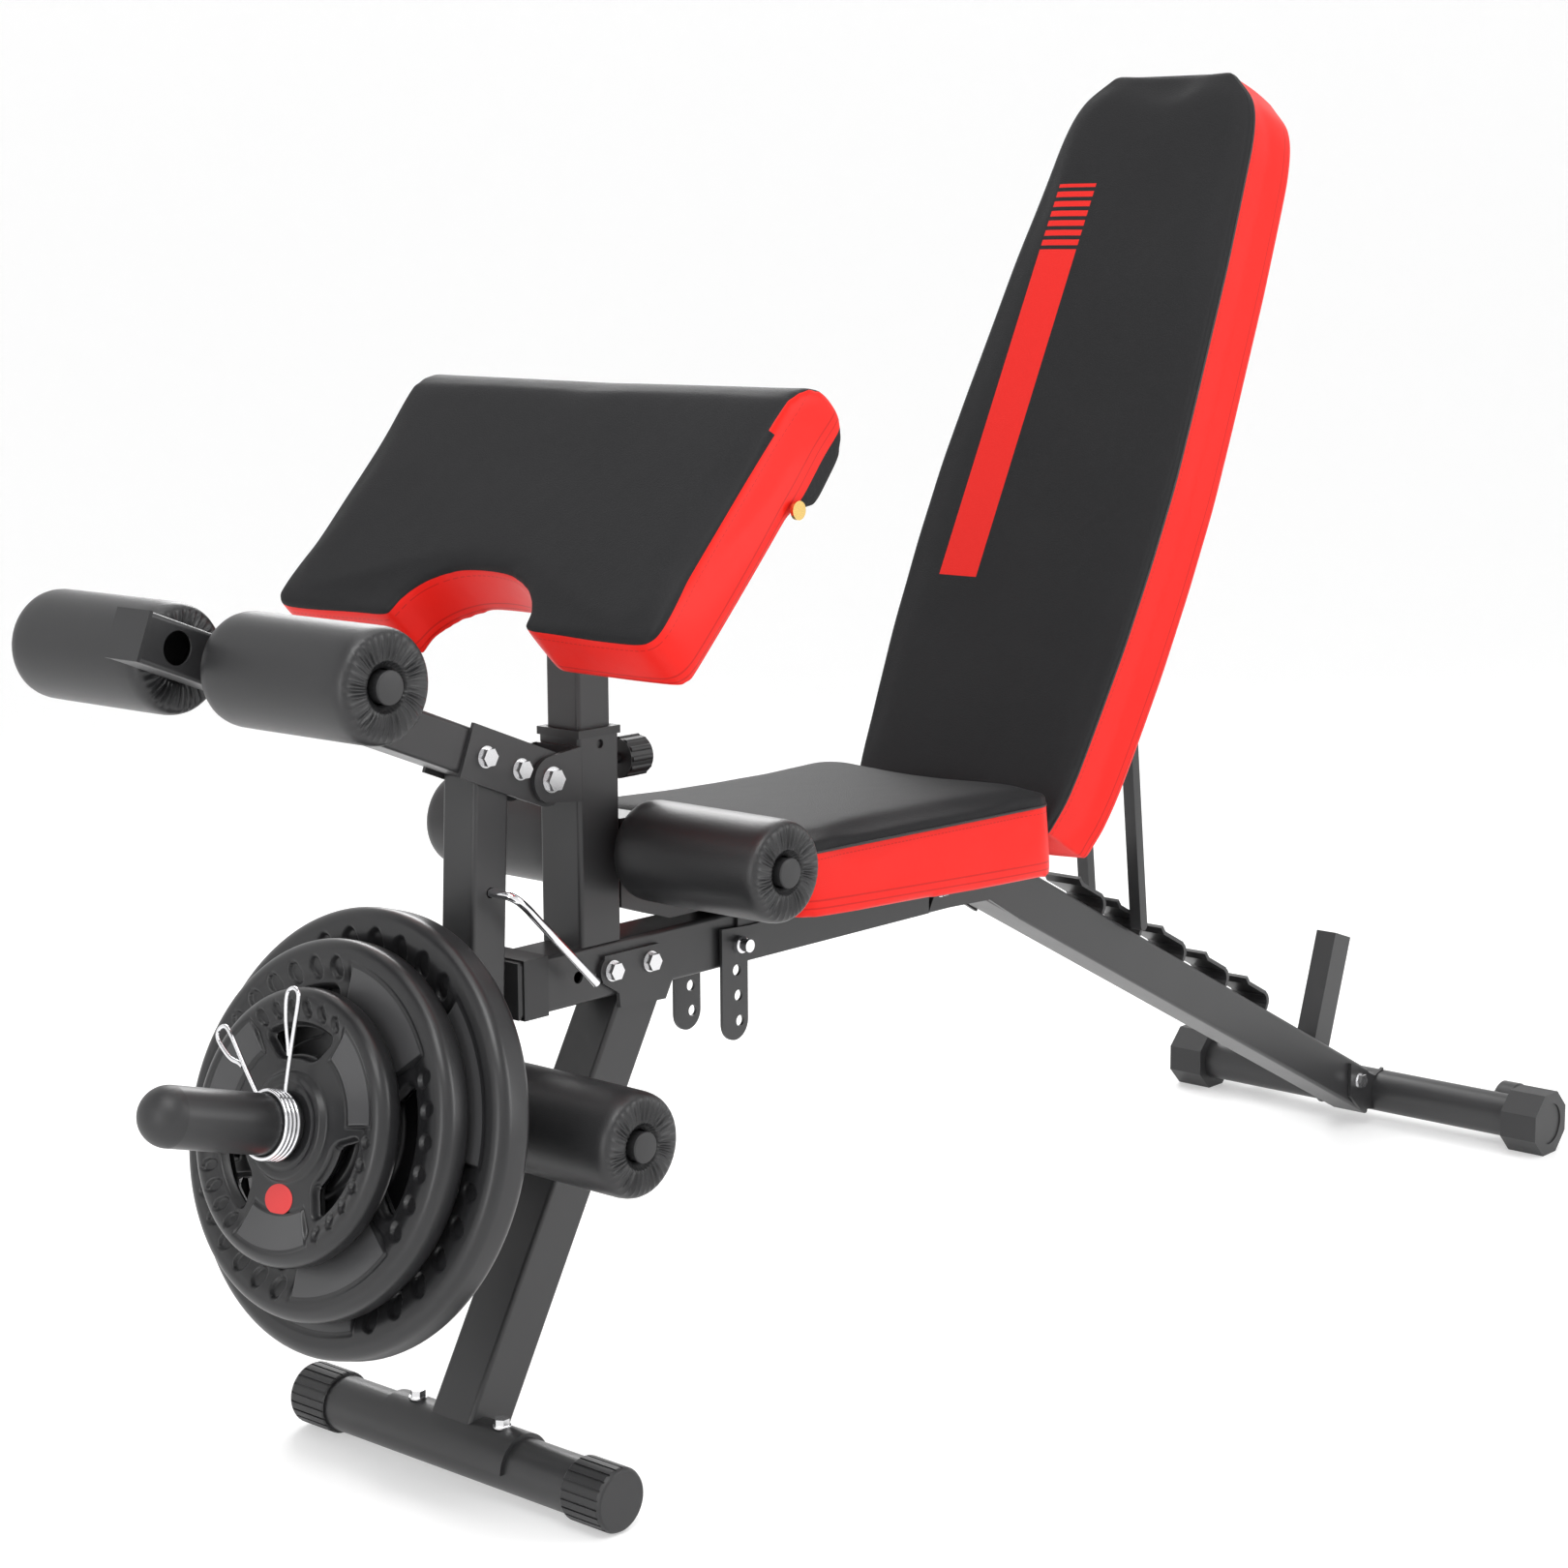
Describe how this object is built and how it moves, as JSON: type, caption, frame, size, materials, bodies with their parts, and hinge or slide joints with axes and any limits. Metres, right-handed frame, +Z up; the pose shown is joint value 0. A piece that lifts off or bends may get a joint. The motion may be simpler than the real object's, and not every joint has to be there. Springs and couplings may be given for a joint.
{
  "type": "adjustable weight bench",
  "caption": "Adjustable weight bench with backrest on a notched rear leg, seat, preacher pad on a sliding post, foam-roller leg developer and a weight peg with plates.",
  "frame": {"origin": "centre of the bounding box's base, on the floor", "axes": "+X from the leg developer to the rear foot, +Y across the bench, +Z up"},
  "size_m": [1.8972, 0.508, 1.2309],
  "materials": {
    "frame_black": "satin powder coat",
    "zinc": "bright zinc",
    "chrome": "polished",
    "plastic_black": "matte",
    "plate_rubber": "satin",
    "wheel_rubber": "matte",
    "pad_black": "pebbled vinyl",
    "roller_black": "fine grained vinyl",
    "brass": "polished"
  },
  "bodies": {
    "base": {"front_foot": "frame_black", "front_foot_caps": "plastic_black", "front_leg": "frame_black", "front_gussets": "frame_black", "main_beam": "frame_black", "beam_cap": "plastic_black", "upright": "frame_black", "upright_bushing": "plastic_black", "clevis": "frame_black", "rear_bracket": "frame_black", "rear_leg": "frame_black", "leg_hooks": "frame_black", "stop_post": "frame_black", "rear_foot": "frame_black", "rear_foot_caps": "plastic_black", "rear_foot_brackets": "frame_black", "wheel_axles": "zinc", "frame_bolts": "zinc", "hinge_bolts": "zinc"},
    "post": {"preacher_post": "frame_black", "preacher_pad": "pad_black", "pad_buttons": "brass"},
    "knob": {"lock_knob": "plastic_black"},
    "developer": {"developer_plates": "frame_black", "upper_arm": "frame_black", "arm_caps": "plastic_black", "drop_arm": "frame_black", "developer_bolts": "zinc", "developer_bars": "frame_black", "peg_bar": "frame_black", "peg_sleeve": "frame_black", "peg_cap": "plastic_black"},
    "lock_rod": {"lock_rod": "chrome"},
    "large_plate": {"plate_large": "plate_rubber"},
    "medium_plate": {"plate_medium": "plate_rubber"},
    "small_plate": {"plate_small": "plate_rubber"},
    "collar": {"spring_collar": "chrome"},
    "seat": {"seat_carrier": "frame_black", "seat_tabs": "frame_black", "seat_front_frame": "frame_black", "knee_roller_bar": "frame_black", "seat_pad": "pad_black"},
    "seat_pin": {"seat_pin": "chrome"},
    "backrest": {"backrest_rail": "frame_black", "rail_cap": "plastic_black", "backrest_brackets": "frame_black", "backrest_pad": "pad_black", "prop_pivot": "zinc"},
    "prop": {"prop_bars": "frame_black"},
    "left_wheel": {"wheel_left": "wheel_rubber"},
    "right_wheel": {"wheel_right": "wheel_rubber"},
    "upper_left_roller": {"upper_roller_left": "roller_black"},
    "upper_right_roller": {"upper_roller_right": "roller_black"},
    "lower_left_roller": {"lower_roller_left": "roller_black"},
    "lower_right_roller": {"lower_roller_right": "roller_black"},
    "knee_left_roller": {"knee_roller_left": "roller_black"},
    "knee_right_roller": {"knee_roller_right": "roller_black"}
  },
  "joints": [
    {"name": "post_slide", "type": "slide", "parent": "base", "child": "post", "axis": [0, 0, 1], "range_m": [0, 0.12]},
    {"name": "knob_turn", "type": "hinge", "parent": "base", "child": "knob", "pos_m": [-0.4, 0, 0.606], "axis": [1, 0, 0], "continuous": true},
    {"name": "developer_swing", "type": "hinge", "parent": "base", "child": "developer", "pos_m": [-0.5235, 0, 0.604], "axis": [0, 1, 0], "range_deg": [0, 45]},
    {"name": "lock_rod_pull", "type": "slide", "parent": "developer", "child": "lock_rod", "axis": [0, -1, 0], "range_m": [0, 0.03]},
    {"name": "large_plate_spin", "type": "hinge", "parent": "developer", "child": "large_plate", "pos_m": [-0.617, 0, 0.3], "axis": [-0.9613, 0, 0.2756], "continuous": true},
    {"name": "medium_plate_spin", "type": "hinge", "parent": "developer", "child": "medium_plate", "pos_m": [-0.617, 0, 0.3], "axis": [-0.9613, 0, 0.2756], "continuous": true},
    {"name": "small_plate_spin", "type": "hinge", "parent": "developer", "child": "small_plate", "pos_m": [-0.617, 0, 0.3], "axis": [-0.9613, 0, 0.2756], "continuous": true},
    {"name": "collar_slide", "type": "slide", "parent": "developer", "child": "collar", "axis": [-0.9613, 0, 0.2756], "range_m": [0, 0.09]},
    {"name": "seat_tilt", "type": "hinge", "parent": "base", "child": "seat", "pos_m": [0.028, 0, 0.459], "axis": [0, 1, 0], "range_deg": [0, 3.9]},
    {"name": "seat_pin_pull", "type": "slide", "parent": "seat", "child": "seat_pin", "axis": [0, -1, 0], "range_m": [0, 0.02]},
    {"name": "backrest_recline", "type": "hinge", "parent": "base", "child": "backrest", "pos_m": [0.146, 0, 0.458], "axis": [0, 1, 0], "range_deg": [-7, 79]},
    {"name": "prop_swing", "type": "hinge", "parent": "backrest", "child": "prop", "pos_m": [0.30116, 0, 0.74931], "axis": [0, 1, 0], "range_deg": [-119, 11]},
    {"name": "left_wheel_roll", "type": "hinge", "parent": "base", "child": "left_wheel", "pos_m": [0.9236, -0.172, 0.035], "axis": [0, 1, 0], "continuous": true},
    {"name": "right_wheel_roll", "type": "hinge", "parent": "base", "child": "right_wheel", "pos_m": [0.9236, 0.172, 0.035], "axis": [0, 1, 0], "continuous": true},
    {"name": "upper_left_roll", "type": "hinge", "parent": "developer", "child": "upper_left_roller", "pos_m": [-0.86217, -0.12, 0.73741], "axis": [0, 1, 0], "continuous": true},
    {"name": "upper_right_roll", "type": "hinge", "parent": "developer", "child": "upper_right_roller", "pos_m": [-0.86217, 0.12, 0.73741], "axis": [0, 1, 0], "continuous": true},
    {"name": "lower_left_roll", "type": "hinge", "parent": "developer", "child": "lower_left_roller", "pos_m": [-0.59899, -0.12, 0.32887], "axis": [0, 1, 0], "continuous": true},
    {"name": "lower_right_roll", "type": "hinge", "parent": "developer", "child": "lower_right_roller", "pos_m": [-0.59899, 0.12, 0.32887], "axis": [0, 1, 0], "continuous": true},
    {"name": "knee_left_roll", "type": "hinge", "parent": "seat", "child": "knee_left_roller", "pos_m": [-0.418, -0.12, 0.529], "axis": [0, 1, 0], "continuous": true},
    {"name": "knee_right_roll", "type": "hinge", "parent": "seat", "child": "knee_right_roller", "pos_m": [-0.418, 0.12, 0.529], "axis": [0, 1, 0], "continuous": true}
  ],
  "couplings": [
    {"joint": "prop_swing", "follows": "backrest_recline", "ratio": -1.5}
  ]
}
